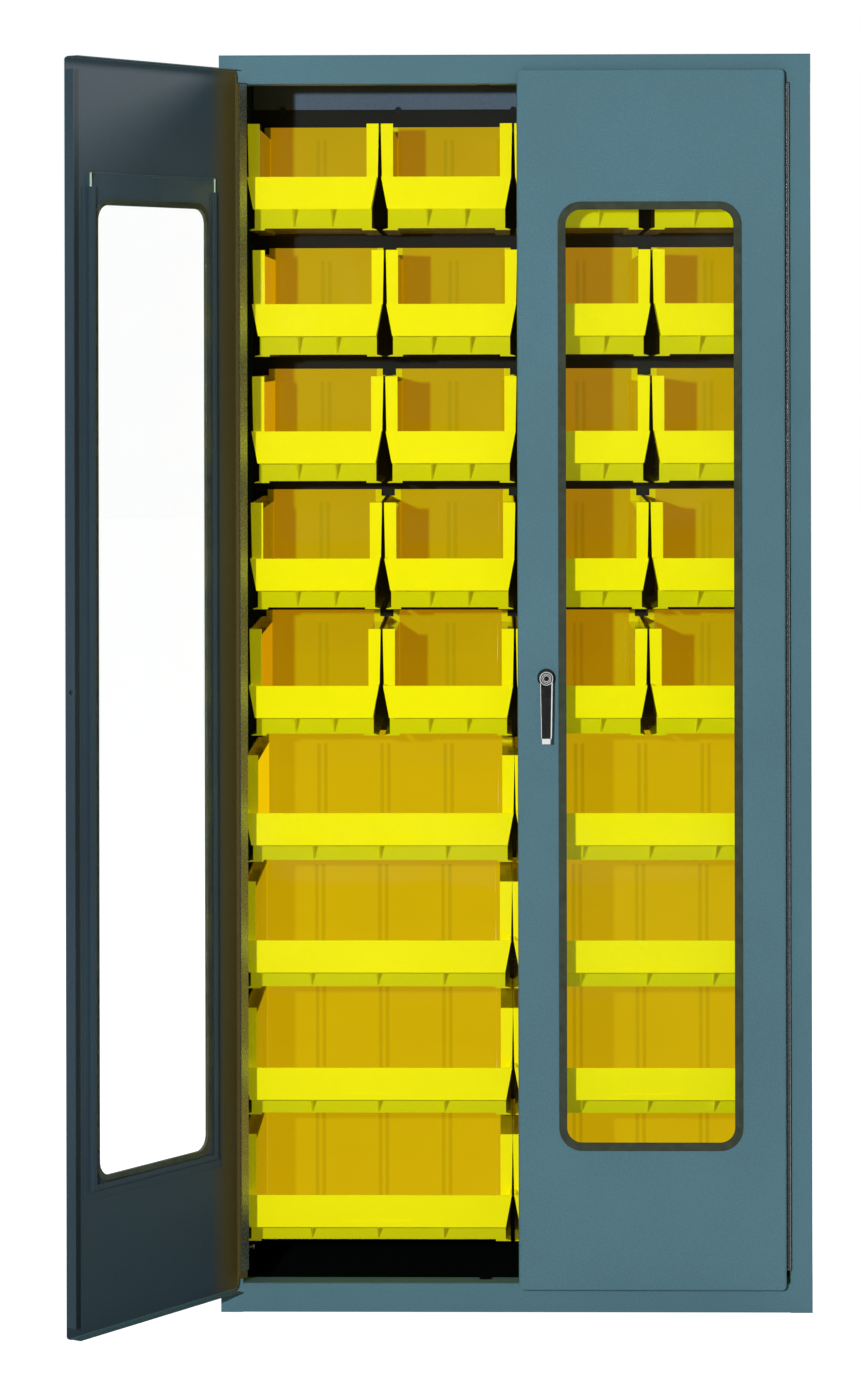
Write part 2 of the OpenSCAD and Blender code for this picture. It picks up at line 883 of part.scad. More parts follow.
module lever() {
    hub_y = door_front_y - ring_t - hub_d;
    arm_d = 10;
    rim = 2;
    face_in = 1.2;
    end_block = 9;
    color(C_CHROME)
        difference() {
            union() {
                translate([handle_x, 0, handle_z])
                    front_plate(hub_y, arm_d)
                        lever_outline(0);
                y_rod(handle_x, handle_z, hub_r, hub_y, door_front_y - ring_t);
                y_rod(handle_x, handle_z, ring_bore_r - turn_clear, door_front_y - ring_t,
                      skin_back_y + nut_t + 2);
                block([handle_x - spindle_w / 2, skin_back_y, handle_z - spindle_w / 2],
                      [handle_x + spindle_w / 2, cam_y + cam_t, handle_z + spindle_w / 2]);
                y_rod(handle_x, handle_z, spindle_w / 2, cam_y, cam_y + cam_t + 5);
            }
            // recessed face of the arm, with a solid block left at its end
            translate([handle_x, 0, handle_z])
                front_plate(hub_y - 1, face_in + 1)
                    difference() {
                        lever_outline(rim);
                        circle(hub_r - rim / 2);
                        panel2d([-hub_r, -lever_l], [hub_r, end_block - lever_l]);
                    }
            y_rod(handle_x, handle_z, plug_r + turn_clear, hub_y - 1, hub_y + hub_d - 3);
        }
}

// Key plug in the lever's hub, with its keyway
module lock_plug() {
    plug_y = door_front_y - ring_t - hub_d;
    keyway_w = 1.8;
    keyway_h = 7;
    color(C_CHROME)
        difference() {
            y_rod(handle_x, handle_z, plug_r, plug_y - 0.6, plug_y + hub_d - 3.5);
            block([handle_x - keyway_w / 2, plug_y - 1, handle_z - keyway_h / 2],
                  [handle_x + keyway_w / 2, plug_y + 6, handle_z + keyway_h / 2]);
        }
}

// Cam plate with the two rod pins and the nose that laps behind the other door
module latch_cam() {
    plate_r = cam_pin_r + cam_post_d / 2 + 2;
    nose_w = 14;
    nose_l = handle_x + 12;
    color(C_ZINC)
        union() {
            translate([handle_x, 0, handle_z])
                front_plate(cam_y, cam_t)
                    difference() {
                        union() {
                            circle(plate_r);
                            panel2d([-nose_w / 2, 0], [nose_w / 2, nose_l - nose_w / 2]);
                            translate([0, nose_l - nose_w / 2])
                                circle(nose_w / 2);
                        }
                        square(spindle_w, center = true);
                    }
            for (side = [0, 180])
                translate([cam_pin_r * cos(side - cam_swing), 0, cam_pin_r * sin(side - cam_swing)]) {
                    y_rod(handle_x, handle_z, cam_post_d / 2, cam_y + cam_t, rod_y - 0.6);
                    y_rod(handle_x, handle_z, cam_pin_d / 2, rod_y - 0.6, rod_y + rod_t + 1);
                }
        }
}

module cam_nut() {
    color(C_ZINC)
        difference() {
            translate([handle_x, cam_y + cam_t + 4, handle_z])
                rotate([90, 0, 0])
                    cylinder(h = 4, r = 8, $fn = 6);
            y_rod(handle_x, handle_z, spindle_w / 2, cam_y, cam_y + cam_t + 6);
        }
}

// Outline of the upper rod about the handle's axis: bar, arm and slotted end
module rod_outline(reach) {
    arm_h = 12;
    arm_z = cam_near + 14;
    slot_l = cam_pin_r - cam_near + cam_pin_d + 2;
    slot_h = cam_pin_d + 2 * slot_clear;
    difference() {
        union() {
            panel2d([-rod_w / 2, arm_z], [rod_w / 2, reach]);
            panel2d([-rod_w / 2, arm_z], [rod_offset + slot_l / 2 + 3, arm_z + arm_h]);
            panel2d([rod_offset - slot_l / 2 - 1.5, -cam_near - slot_h / 2 - 4],
                    [rod_offset + slot_l / 2 + 3, arm_z + arm_h]);
        }
        panel2d([rod_offset - slot_l / 2, -cam_near - slot_h / 2],
                [rod_offset + slot_l / 2, -cam_near + slot_h / 2]);
    }
}

module upper_rod() {
    color(C_ZINC)
        translate([handle_x, 0, handle_z])
            front_plate(rod_y, rod_t)
                rod_outline(upper_top - handle_z);
}

module lower_rod() {
    color(C_ZINC)
        translate([handle_x, 0, handle_z])
            front_plate(rod_y, rod_t)
                rotate(180)
                    rod_outline(handle_z - lower_end);
}

// Brackets on the door skin that guide the rods
module rod_guides() {
    slot_half = rod_w / 2 + guide_clear;
    leg_half = slot_half + guide_t;
    loop_y = rod_y - guide_clear - guide_t;
    end_y = rod_y + rod_t + guide_clear + guide_t;
    color(C_ZINC)
        for (z = GUIDE_Z)
            translate([handle_x, 0, z - guide_h / 2])
                linear_extrude(guide_h)
                    difference() {
                        panel2d([-leg_half, skin_back_y], [leg_half, end_y]);
                        panel2d([-slot_half, skin_back_y - 1], [slot_half, loop_y]);
                        panel2d([-slot_half, loop_y + guide_t], [slot_half, end_y - guide_t]);
                    }
}

// ---------- bins ----------

// Hanger in Y and Z: top flange and the hook that lies behind a louver tongue
module hanger_section() {
    base = [bin_l + hook_clear, tongue_base] + across * (panel_t + hook_clear);
    hook_low = ((panel_t + hook_clear + hook_t) * across[0] + 0.4) / -along[0];
    hook_high = (bin_h - hook_t * across[1] - base[1]) / along[1];
    low = base + along * hook_low;
    high = base + along * hook_high;
    union() {
        polygon([low, high, high + across * hook_t, low + across * hook_t]);
        panel2d([bin_back - bin_wall, bin_h - bin_wall], [high[0] + hook_t, bin_h]);
    }
}

// Half of an outline in X and Z, completed by its mirror image
module mirrored_x() {
    for (side = [0, 1])
        mirror([side, 0, 0])
            children();
}

// Tub seen from above: square in front, with round corners at the back
module tub_plan(half, y0, y1, r) {
    panel2d([-half, y0], [half, y1 - r]);
    panel2d([r - half, y0], [half - r, y1]);
    for (x = [r - half, half - r])
        translate([x, y1 - r])
            circle(r);
}

// Outer and inner sections of the hopper in X and Z
module hopper_outside(half) {
    mirrored_x()
        polygon([[0, lip_low], [half - lip_in, lip_low], [half - lip_lean, lip_high], [0, lip_high]]);
}

module hopper_inside(half) {
    side = half - bin_wall;
    low = lip_low + bin_wall;
    mirrored_x()
        polygon([[0, low], [side - lip_in, low], [side - lip_lean, lip_high],
                 [side - lip_lean, lip_high + 2], [0, lip_high + 2]]);
}

// Front frame in X and Z: sill below the hopper and leaning posts beside the mouth
module front_frame(half) {
    difference() {
        mirrored_x()
            polygon([[0, bin_foot], [half - lip_in, bin_foot], [half - lip_in, lip_low],
                     [half - lip_lean, lip_high], [half, rim_z - rim_up], [half, rim_z], [0, rim_z]]);
        panel2d([post_w - half, lip_low + bin_wall], [half - post_w, bin_h]);
    }
}

// One hopper bin, with its lip's foot line at the origin
module hopper_bin(w, gussets, strips) {
    half = w / 2;
    inner = half - post_w;
    tub = inner + bin_wall;
    tub_front = post_in + bin_wall;
    ledge_z = rim_z - rim_up - bin_wall;
    rim_t = 2.2;
    rim_r = tub_r + rim_t;
    foot_side = 3;
    foot_w = 23.5;
    foot_top = bin_foot + 1.5;
    lip_t = 3;
    gusset_t = 2;
    strip_w = 6;
    strip_t = 1.2;
    strip_apart = 11.2;
    strip_below = 21;
    $fn = 24;
    difference() {
        union() {
            translate([0, 0, bin_foot])
                linear_extrude(ledge_z)
                    tub_plan(tub, post_in, bin_back, tub_r + bin_wall);
            front_plate(0, tub_front)
                hopper_outside(half);
            front_plate(post_in, bin_wall)
                front_frame(half);
            // stacking ledge with its rim, raised along the back
            translate([0, 0, ledge_z])
                linear_extrude(rim_z - ledge_z)
                    tub_plan(half, post_in, bin_back, rim_r);
            front_plate(bin_back - bin_wall, bin_wall)
                panel2d([rim_r - half, ledge_z], [half - rim_r, bin_h]);
            cross_bar(lip_in - half, w - 2 * lip_in)
                hanger_section();
            // feet along the sides
            mirrored_x()
                front_plate(post_in, bin_back - post_in - rim_r)
                    polygon([[half - foot_side - foot_w, 0], [half - foot_side, 0], [half - foot_side, 0.8],
                             [tub, foot_top], [half - foot_side - foot_w, foot_top]]);
            // gussets below the hopper
            for (x = gussets)
                cross_bar(x - gusset_t / 2, gusset_t)
                    polygon([[5, lip_low + 1], [post_in + 1, lip_low + 1], [post_in + 1, foot_top]]);
        }
        // inside of the tub, with the strips left on its back
        difference() {
            translate([0, 0, bin_foot + bin_wall])
                linear_extrude(bin_h)
                    tub_plan(inner, tub_front, bin_back - bin_wall, tub_r);
            for (x = strips)
                for (side = [-1, 1])
                    translate([x + side * strip_apart / 2 - strip_w / 2, bin_back - bin_wall - strip_t, 0])
                        cube([strip_w, strip_t + 1, bin_h - strip_below]);
        }
        // above the ledge, between the rims
        translate([0, 0, ledge_z + bin_wall])
            linear_extrude(bin_h)
                tub_plan(half - rim_t, tub_front, bin_back - bin_wall, tub_r);
        // inside of the hopper, and the mouth between the posts
        front_plate(lip_t, post_in - lip_t)
            hopper_inside(half);
        block([-inner, post_in - 1, lip_low + bin_wall], [inner, tub_front + 1, bin_h]);
        // label recess
        block([-label_w / 2, -1, lip_high - label_h], [label_w / 2, 0.9, lip_high + 1]);
    }
}

function row_z(r) = bins_z + (ROWS - r) * row_pitch;

module small_bin(row, column) {
    gusset = 30;
    color(C_BIN)
        translate([(column - 2.5) * bin_pitch + ROW_SHIFT[row - 1], bin_y, row_z(row)])
            hopper_bin(small_w, [-gusset, gusset], [0]);
}

module wide_bin(row, column) {
    gusset = 104;
    color(C_BIN)
        translate([(column - 1.5) * wide_pitch + ROW_SHIFT[row - 1], bin_y, row_z(row)])
            hopper_bin(wide_w, [-gusset, 0, gusset], [-gusset, 0, gusset]);
}

// ---------- what is drawn ----------
left_side_panel();
right_side_panel();
top_panel();
bottom_panel();
back_panel();
upper_back_strip();
louver_panel();
panel_screws();
jamb_pins();
left_hinge_frame_leaf();
left_hinge_pin();
right_hinge_frame_leaf();
right_hinge_pin();
left_door_pan();
left_pane_track();
left_pane();
left_gasket();
left_hinge_door_leaf();
right_door_pan();
right_pane_track();
right_pane();
right_gasket();
right_hinge_door_leaf();
handle_ring();
handle_nut();
rod_guides();
lever();
latch_cam();
cam_nut();
lock_plug();
upper_rod();
lower_rod();
for (b = SMALL_BINS)
    small_bin(b[1], b[2]);
for (b = WIDE_BINS)
    wide_bin(b[1], b[2]);
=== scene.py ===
"""Looks of the parts bin cabinet: finishes, softened edges, small fasteners, light and camera.

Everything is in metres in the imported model's frame: X to the right, front towards -Y, Z up.
"""
import math

import bmesh
import bpy
from mathutils import Matrix, Vector


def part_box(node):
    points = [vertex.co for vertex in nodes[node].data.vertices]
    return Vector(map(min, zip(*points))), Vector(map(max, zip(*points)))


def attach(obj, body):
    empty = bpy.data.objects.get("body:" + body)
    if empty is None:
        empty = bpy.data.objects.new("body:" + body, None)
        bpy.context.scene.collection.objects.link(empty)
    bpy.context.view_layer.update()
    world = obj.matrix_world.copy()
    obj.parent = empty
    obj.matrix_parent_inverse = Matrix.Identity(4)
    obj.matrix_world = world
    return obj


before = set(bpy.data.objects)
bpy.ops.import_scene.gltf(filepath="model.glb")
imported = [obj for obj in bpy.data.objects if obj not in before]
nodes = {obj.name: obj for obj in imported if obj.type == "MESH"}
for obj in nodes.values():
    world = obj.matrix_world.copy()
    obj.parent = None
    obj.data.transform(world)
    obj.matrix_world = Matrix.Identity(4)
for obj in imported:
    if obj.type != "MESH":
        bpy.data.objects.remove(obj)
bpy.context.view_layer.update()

# ---------- sizes and places ----------

FRONT_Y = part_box("top_panel")[0].y
LEFT_OPEN = 124  # degrees that the left door stands open at rest

# Camera fitted to the photograph: its distance from the front frame, offset, height and turn
CAMERA_DISTANCE = 6.435
CAMERA_X = -0.127
CAMERA_Z = 1.4895
CAMERA_TURN = math.radians(0.909)
CAMERA_ROLL = math.radians(-0.113)
IMAGE_W, IMAGE_H = 861, 1400
FOCAL_PX = 4162.4
PRINCIPAL_X, PRINCIPAL_Y = 432.6, 349.2
SENSOR = 36.0

# Lamps: where they stand and point, how wide they are and their power in watts
KEY_PLACE, KEY_TARGET = (-1.18, -6.8, 1.71), (0, FRONT_Y, 1.0)
KEY_SIZE, KEY_POWER = 0.12, 350
SOFTBOX_SIZE, SOFTBOX_POWER = 0.5, 9
FILL_PLACE, FILL_TARGET = (4.6, 2.6, 3.6), (0.3, 0.1, 1.0)
FILL_SIZE, FILL_POWER = 1.5, 190
AMBIENT = 0.15
FLOOR_HALF = 30.0

# Places in a hopper bin, measured from the corner of its box
POST_W = 0.019
MOUTH_Y = 0.0535
MOUTH_FADE = 0.001
HOPPER_Y = 0.006
BIN_FLOOR = 0.0050
LIP_LOW = 0.032
STRIP_W = 0.006
STRIP_APART = 0.0112
STRIP_BELOW = 0.021
STRIP_DEPTH = 0.040
WIDE_GUSSET = 0.104

# The lever's face, with its bright rims and its solid end
LEVER_HUB_R = 0.011
LEVER_END_HALF = 0.00825
RIM_TOP_HALF = 0.0096
RIM_BELOW_HUB = 0.006
RIM_INSET = 0.0003
RIM_PROUD, RIM_SUNK = 0.0003, 0.0001
LEFT_RIM_W, RIGHT_RIM_W = 0.0009, 0.0018
END_FACE_H, END_FACE_FLARE = 0.0086, 0.0001
lever_low, lever_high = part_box("lever")
HANDLE_X = (lever_low.x + lever_high.x) / 2
HANDLE_Z = lever_high.z - LEVER_HUB_R

# Fine rings, as (radius, thickness), and the stretch of each ring's round section that is built
HUB_RINGS = ((0.0098, 0.0006), (0.0069, 0.0005))
KEY_RINGS = ((0.0045, 0.0004),)
RING_ANGLES = (-0.4, 0.2, 0.8, 1.57, 2.34, 2.94, 3.54)
RING_STEPS = 48

# Rivets of a continuous hinge. The dome's points are (height over the leaf, radius)
LEAF_T = 0.0013
RIVETS = 12
RIVET_PITCH = 0.151
RIVET_LOWEST = 0.0905
RIVET_FROM_EDGE = 0.008
RIVET_STEPS = 12
RIVET_DOME = ((-0.0002, 0.0026), (0.0003, 0.0026), (0.0008, 0.0021), (0.0011, 0.0012), (0.0012, 0.0001))

# Edges: what counts as one point, as flat and as sharp
WELD_WITHIN = 0.00001
FLAT_WITHIN = math.radians(0.5)
SHARP_OVER = math.radians(35)

# Finishes, and the painted shade, glow and highlights, as linear colours
STEEL = (0.087, 0.185, 0.224)
# painted shade: the darker tone of the doors' insides, the open door's free edge and the pane tracks
DOOR_PAINTED_SHADE = (0.034, 0.059, 0.078)
# painted reflection: the yellow light of the bins on the open door's inside near its hinge
DOOR_PAINTED_BOUNCE = (0.088, 0.072, 0.022)
INNER_STEEL = (0.092, 0.138, 0.196)
# painted shade: near-black louver panel, standing in for the shade in the gaps between bin rows
LOUVER_PAINTED_SHADE = (0.018, 0.020, 0.018)
# painted shade: near-black tone of the cabinet's inner floor
FLOOR_PAINTED_SHADE = (0.005, 0.007, 0.008)
HINGE_STEEL = (0.38, 0.41, 0.40)
YELLOW = (0.76, 0.71, 0.002)
# painted shade: the deeper tone inside small and wide bins
YELLOW_INSIDE_SHADE = (0.20, 0.235, 0.002)
WIDE_INSIDE_SHADE = (0.13, 0.12, 0.002)
# painted shade on the sill below each bin's lip
SILL_PAINTED_SHADE = (0.42, 0.43, 0.001)
# painted glow: emission on the posts and lip, and a stronger one inside small and wide bins
PAINTED_GLOW = (0.17, 0.16, 0.001)
PAINTED_GLOW_INSIDE = (0.32, 0.145, 0.0005)
WIDE_PAINTED_GLOW = (0.48, 0.30, 0.0008)
RUBBER = (0.044, 0.055, 0.036)
PANE_TINT = (0.99, 1.0, 0.995)
PANE_EDGE = (0.42, 0.60, 0.44)
CHROME = (0.80, 0.81, 0.82)
# painted highlight: near-white, mostly scattering metal on the lever's rims and rings, in place of
# chrome's bright reflections
SATIN_HIGHLIGHT = (0.93, 0.96, 0.95)
ZINC = (0.52, 0.53, 0.54)
BLACK = (0.012, 0.012, 0.013)
STAGE_GREY = (0.55, 0.55, 0.55)
STAGE_IN_GLOSS = (0.10, 0.10, 0.10)
STAGE_SHADOW = (0.34, 0.34, 0.34)
STAGE_GLOW = 0.96
WHITE = (1.0, 1.0, 1.0)


# ---------- shader nodes ----------

def opaque(colour):
    return (*colour, 1)


def scaled(colour, k):
    return tuple(min(1.0, c * k) for c in colour)


def feed(tree, socket, value):
    """Gives an input a number or colour, or links it to the output that value is."""
    if isinstance(value, bpy.types.NodeSocket):
        tree.links.new(value, socket)
    else:
        socket.default_value = value


def new_node(tree, kind, operation=None, **inputs):
    """A shader node with its inputs fed. Their names have _ in place of spaces."""
    node = tree.nodes.new("ShaderNode" + kind)
    if operation:
        node.operation = operation
    for name, value in inputs.items():
        feed(tree, node.inputs[name.replace("_", " ")], value)
    return node


def math_node(tree, operation, a, b=0.0):
    node = new_node(tree, "Math", operation)
    feed(tree, node.inputs[0], a)
    feed(tree, node.inputs[1], b)
    return node.outputs["Value"]


def mix_shaders(tree, factor, first, second):
    """The first shader where the factor is 0 and the second where it is 1."""
    node = new_node(tree, "MixShader", Fac=factor)
    feed(tree, node.inputs[1], first)
    feed(tree, node.inputs[2], second)
    return node.outputs["Shader"]


def ray_kinds(tree):
    return new_node(tree, "LightPath").outputs


def sees_backdrop(tree, behind):
    """1 for the rays that meet a white backdrop: the eye's own, those that come straight through
    a clear sheet, and mirrored ones where behind is 1."""
    rays = ray_kinds(tree)
    straight = math_node(tree, "LESS_THAN", rays["Glossy Depth"], 0.5)
    through = math_node(tree, "MULTIPLY", rays["Is Transmission Ray"], straight)
    mirrored = math_node(tree, "MULTIPLY", rays["Is Glossy Ray"], behind)
    return math_node(tree, "MAXIMUM", rays["Is Camera Ray"],
                     math_node(tree, "MAXIMUM", through, mirrored))


class Nodes:
    """Short calls for building one material's node tree."""

    def __init__(self, name):
        self.material = bpy.data.materials.new(name)
        self.material.use_nodes = True
        self.tree = self.material.node_tree
        self.shader = self.tree.nodes["Principled BSDF"]
        self.surface = self.tree.nodes["Material Output"].inputs["Surface"]
        self.coordinates = new_node(self.tree, "TexCoord").outputs

    def set(self, **values):
        for name, value in values.items():
            self.shader.inputs[name.replace("_", " ")].default_value = value

    def colour(self, source):
        feed(self.tree, self.shader.inputs["Base Color"], source)

    def roughness(self, source):
        feed(self.tree, self.shader.inputs["Roughness"], source)

    def glow(self, source):
        feed(self.tree, self.shader.inputs["Emission Color"], source)

    def axes(self, coordinates):
        """The three parts of a texture coordinate, named Object or Generated."""
        split = new_node(self.tree, "SeparateXYZ", Vector=self.coordinates[coordinates])
        return [split.outputs[axis] for axis in "XYZ"]

    def noise(self, scale, detail=2.0, rough=0.5):
        return new_node(self.tree, "TexNoise", Vector=self.coordinates["Object"], Scale=scale,
                        Detail=detail, Roughness=rough).outputs["Fac"]

    def ramp(self, source, low, high, low_at=0.3, high_at=0.7):
        """The source's span from low_at to high_at spread between two numbers."""
        return new_node(self.tree, "MapRange", Value=source, From_Min=low_at, From_Max=high_at,
                        To_Min=low, To_Max=high).outputs["Result"]

    def math(self, operation, a, b=0.0):
        return math_node(self.tree, operation, a, b)

    def all_of(self, *masks):
        product = masks[0]
        for mask in masks[1:]:
            product = self.math("MULTIPLY", product, mask)
        return product

    def mix(self, factor, a, b):
        """The colour a where the factor is 0 and b where it is 1."""
        node = self.tree.nodes.new("ShaderNodeMix")
        node.data_type = "RGBA"
        feed(self.tree, node.inputs["Factor"], factor)
        colours = [socket for socket in node.inputs if socket.type == "RGBA"]
        for socket, value in zip(colours, (a, b)):
            feed(self.tree, socket, opaque(value) if isinstance(value, tuple) else value)
        return next(socket for socket in node.outputs if socket.type == "RGBA")

    def multiply(self, colour, factor):
        """A colour, as a tuple or a socket, made lighter or darker by a factor."""
        node = new_node(self.tree, "VectorMath", "SCALE", Vector=colour, Scale=factor)
        return node.outputs["Vector"]

    def facing(self, direction):
        """How far the surface at rest faces a direction: 1 where it does, -1 where it faces away."""
        node = new_node(self.tree, "VectorMath", "DOT_PRODUCT")
        feed(self.tree, node.inputs[0], self.coordinates["Normal"])
        feed(self.tree, node.inputs[1], direction)
        return node.outputs["Value"]

    def bump(self, height, distance, strength, under=None):
        """Raises the surface by a height, over the bump that is under it."""
        node = new_node(self.tree, "Bump", Height=height, Distance=distance, Strength=strength)
        if under is not None:
            feed(self.tree, node.inputs["Normal"], under)
        feed(self.tree, self.shader.inputs["Normal"], node.outputs["Normal"])
        return node.outputs["Normal"]


# ---------- materials ----------

def painted_steel(name, colour, back=None, faces=None, beyond=0.0, painted_bounce=None):
    """Satin baked paint: faint clouding, fine grain and orange peel over slightly wavy sheet.
    Where the surface faces the direction faces, and lies past the share beyond of the piece's
    depth, it takes the darker tone back, which is painted shade. The warm tone is painted light:
    the yellow cast that the bins throw on an open door's inside next to its hinge."""
    n = Nodes(name)
    tone = colour
    if back:
        # painted shade on the faces that face the given direction
        inner = n.math("GREATER_THAN", n.facing(faces), 0.5)
        if beyond:
            inner = n.all_of(inner, n.math("GREATER_THAN", n.axes("Generated")[1], beyond))
        tone = n.mix(inner, colour, back)
        # painted reflection of the yellow bins on the door's inside near the hinge
        if painted_bounce:
            near_hinge = n.ramp(n.axes("Generated")[0], 0.0, 1.0, low_at=0.78, high_at=0.88)
            tone = n.mix(n.all_of(inner, near_hinge), tone, painted_bounce)
    cloud = n.ramp(n.noise(scale=3.2, detail=4), 0.93, 1.07)
    grain = n.ramp(n.noise(scale=420, rough=0.6), 0.92, 1.08, low_at=0.35, high_at=0.65)
    n.colour(n.multiply(n.multiply(tone, cloud), grain))
    n.roughness(n.ramp(n.noise(scale=45, detail=3), 0.38, 0.46))
    waves = n.bump(n.noise(scale=4, detail=1), distance=0.003, strength=0.2)
    n.bump(n.noise(scale=700), distance=0.00010, strength=0.4, under=waves)
    n.set(IOR=1.5, Specular_IOR_Level=0.2)
    return n.material


def thick_strips(n, x, y, z, size, strip_pairs):
    """1 on the paired strips of a bin's back. strip_pairs has the middle of each pair, measured
    from the bin's middle."""
    across = n.math("MULTIPLY", n.math("SUBTRACT", x, 0.5), size.x)
    strips = 0.0
    for middle in strip_pairs:
        from_pair = n.math("ABSOLUTE", n.math("SUBTRACT", across, middle))
        from_strip = n.math("ABSOLUTE", n.math("SUBTRACT", from_pair, STRIP_APART / 2))
        strips = n.math("MAXIMUM", strips, n.math("LESS_THAN", from_strip, STRIP_W / 2))
    on_back = n.math("GREATER_THAN", y, 1 - STRIP_DEPTH / size.y)
    low_enough = n.math("LESS_THAN", z, 1 - STRIP_BELOW / size.z)
    return n.all_of(strips, on_back, low_enough)


def bin_plastic(name, size, inside_shade, inside_painted_glow, strip_pairs):
    """Glossy yellow plastic. Its inside has a painted shade, a deeper tone, and a painted glow that
    stands in for the light that the thin walls pass on, less so at the thicker strips on its back;
    the posts and lip glow fainter, and the sill below the lip has a painted shade. size is the bin's box."""
    n = Nodes(name)
    x, y, z = n.axes("Generated")
    off_middle = n.math("ABSOLUTE", n.math("SUBTRACT", x, 0.5))
    between_posts = n.math("LESS_THAN", off_middle, 0.5 - POST_W / size.x)
    behind_mouth = n.ramp(y, 0, 1, low_at=(MOUTH_Y - MOUTH_FADE) / size.y, high_at=MOUTH_Y / size.y)
    in_front = n.math("SUBTRACT", 1.0, behind_mouth)
    inside = n.all_of(between_posts, behind_mouth, n.math("GREATER_THAN", z, BIN_FLOOR / size.z))
    sill = n.all_of(in_front, n.math("LESS_THAN", z, LIP_LOW / size.z),
                    n.math("GREATER_THAN", y, HOPPER_Y / size.y))
    tone = n.ramp(n.noise(scale=7, detail=3), 0, 1)
    outer = n.mix(tone, scaled(YELLOW, 0.97), YELLOW)
    # painted shade inside the bin
    inner = n.mix(tone, scaled(inside_shade, 0.92), scaled(inside_shade, 1.05))
    # painted shade on the sill below the lip
    n.colour(n.mix(inside, n.mix(sill, outer, SILL_PAINTED_SHADE), inner))
    # painted glow inside the bin, fainter on the thicker strips
    glow = n.mix(thick_strips(n, x, y, z, size, strip_pairs), inside_painted_glow, scaled(inside_painted_glow, 0.8))
    # painted glow: the inside's, and a fainter one on the posts and lip
    n.glow(n.mix(inside, n.mix(in_front, (0, 0, 0), PAINTED_GLOW), glow))
    n.set(IOR=1.45, Emission_Strength=1.0, Specular_IOR_Level=0.4)
    n.roughness(n.ramp(n.noise(scale=30), 0.05, 0.08))
    waves = n.bump(n.noise(scale=6, detail=1), distance=0.010, strength=0.22)
    n.bump(n.noise(scale=380), distance=0.00008, strength=0.25, under=waves)
    return n.material


def rubber(name, colour):
    """Extruded rubber: matt, faintly ribbed and dusty."""
    n = Nodes(name)
    dust = n.ramp(n.noise(scale=60, detail=4), 0, 1)
    n.colour(n.mix(dust, scaled(colour, 0.8), scaled(colour, 1.25)))
    n.roughness(n.ramp(n.noise(scale=90, detail=3), 0.52, 0.70))
    n.bump(n.noise(scale=400, detail=3), distance=0.0002, strength=0.6)
    n.set(IOR=1.5)
    return n.material


def polished(name, colour, rough, metallic=1.0):
    """Bright metal with fine wear. Satin metal has a lower metallic share, so that it also scatters."""
    n = Nodes(name)
    streak = n.noise(scale=300, detail=3)
    n.colour(n.mix(n.ramp(streak, 0, 1), scaled(colour, 0.93), colour))
    n.roughness(n.ramp(streak, rough, rough + 0.08))
    n.bump(n.noise(scale=150), distance=0.00005, strength=0.3)
    n.set(Metallic=metallic)
    return n.material


def black_finish(name, colour):
    """Black coating with a fine, uneven grain."""
    n = Nodes(name)
    n.colour(n.mix(n.ramp(n.noise(scale=200), 0, 1), colour, scaled(colour, 1.8)))
    n.roughness(n.ramp(n.noise(scale=120), 0.32, 0.46))
    n.bump(n.noise(scale=500), distance=0.00008, strength=0.5)
    return n.material


def clear_sheet(name, tint, edge, face):
    """Clear sheet whose cut edges are pale green. face is the direction that the sheet faces at rest."""
    n = Nodes(name)
    n.set(IOR=1.15, Transmission_Weight=1.0, Base_Color=opaque(tint))
    n.roughness(n.ramp(n.noise(scale=2.5), 0.0, 0.006))
    n.bump(n.noise(scale=3, detail=1), distance=0.002, strength=0.1)
    # lamps and bounced light reach straight through the sheet to what is behind it
    rays = ray_kinds(n.tree)
    straight = n.math("MAXIMUM", rays["Is Shadow Ray"], rays["Is Diffuse Ray"])
    through = new_node(n.tree, "BsdfTransparent", Color=opaque(tint)).outputs["BSDF"]
    sheet = mix_shaders(n.tree, straight, n.shader.outputs["BSDF"], through)
    # the cut edge, where the surface turns away from the sheet's face
    cut = new_node(n.tree, "BsdfPrincipled", Base_Color=opaque(edge), Roughness=0.35).outputs["BSDF"]
    turned = n.math("LESS_THAN", n.math("ABSOLUTE", n.facing(face)), 0.5)
    feed(n.tree, n.surface, mix_shaders(n.tree, turned, sheet, cut))
    return n.material


def box_size(name):
    low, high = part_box(name)
    return high - low


left_open = math.radians(LEFT_OPEN)
left_normal = Vector((math.sin(left_open), math.cos(left_open), 0))
# halfway between the open door's inner face and its free edge, which both get the painted shade
free_edge_side = Vector((left_normal.x + left_normal.y, left_normal.y - left_normal.x, 0)) / math.sqrt(2)
case_paint = painted_steel("case_paint", STEEL)
# the open door's inside and free edge get a painted shade, and near the hinge a painted yellow reflection
left_door_paint = painted_steel("left_door_paint", STEEL, DOOR_PAINTED_SHADE, free_edge_side, painted_bounce=DOOR_PAINTED_BOUNCE)
# the right door's inside gets the same painted shade
right_door_paint = painted_steel("right_door_paint", STEEL, DOOR_PAINTED_SHADE, (0, 1, 0))
# the inner floor, facing up beyond a tenth of the depth, gets a near-black painted shade
bottom_paint_floor_shade = painted_steel("bottom_paint_floor_shade", STEEL, FLOOR_PAINTED_SHADE, (0, 0, 1), beyond=0.1)
# the louver panel carries a painted shade for the gaps between bin rows
louver_painted_shade = painted_steel("louver_painted_shade", LOUVER_PAINTED_SHADE)
# the pane tracks take the doors' painted shade tone
track_paint = painted_steel("track_paint", DOOR_PAINTED_SHADE)
inner_paint = painted_steel("inner_paint", INNER_STEEL)
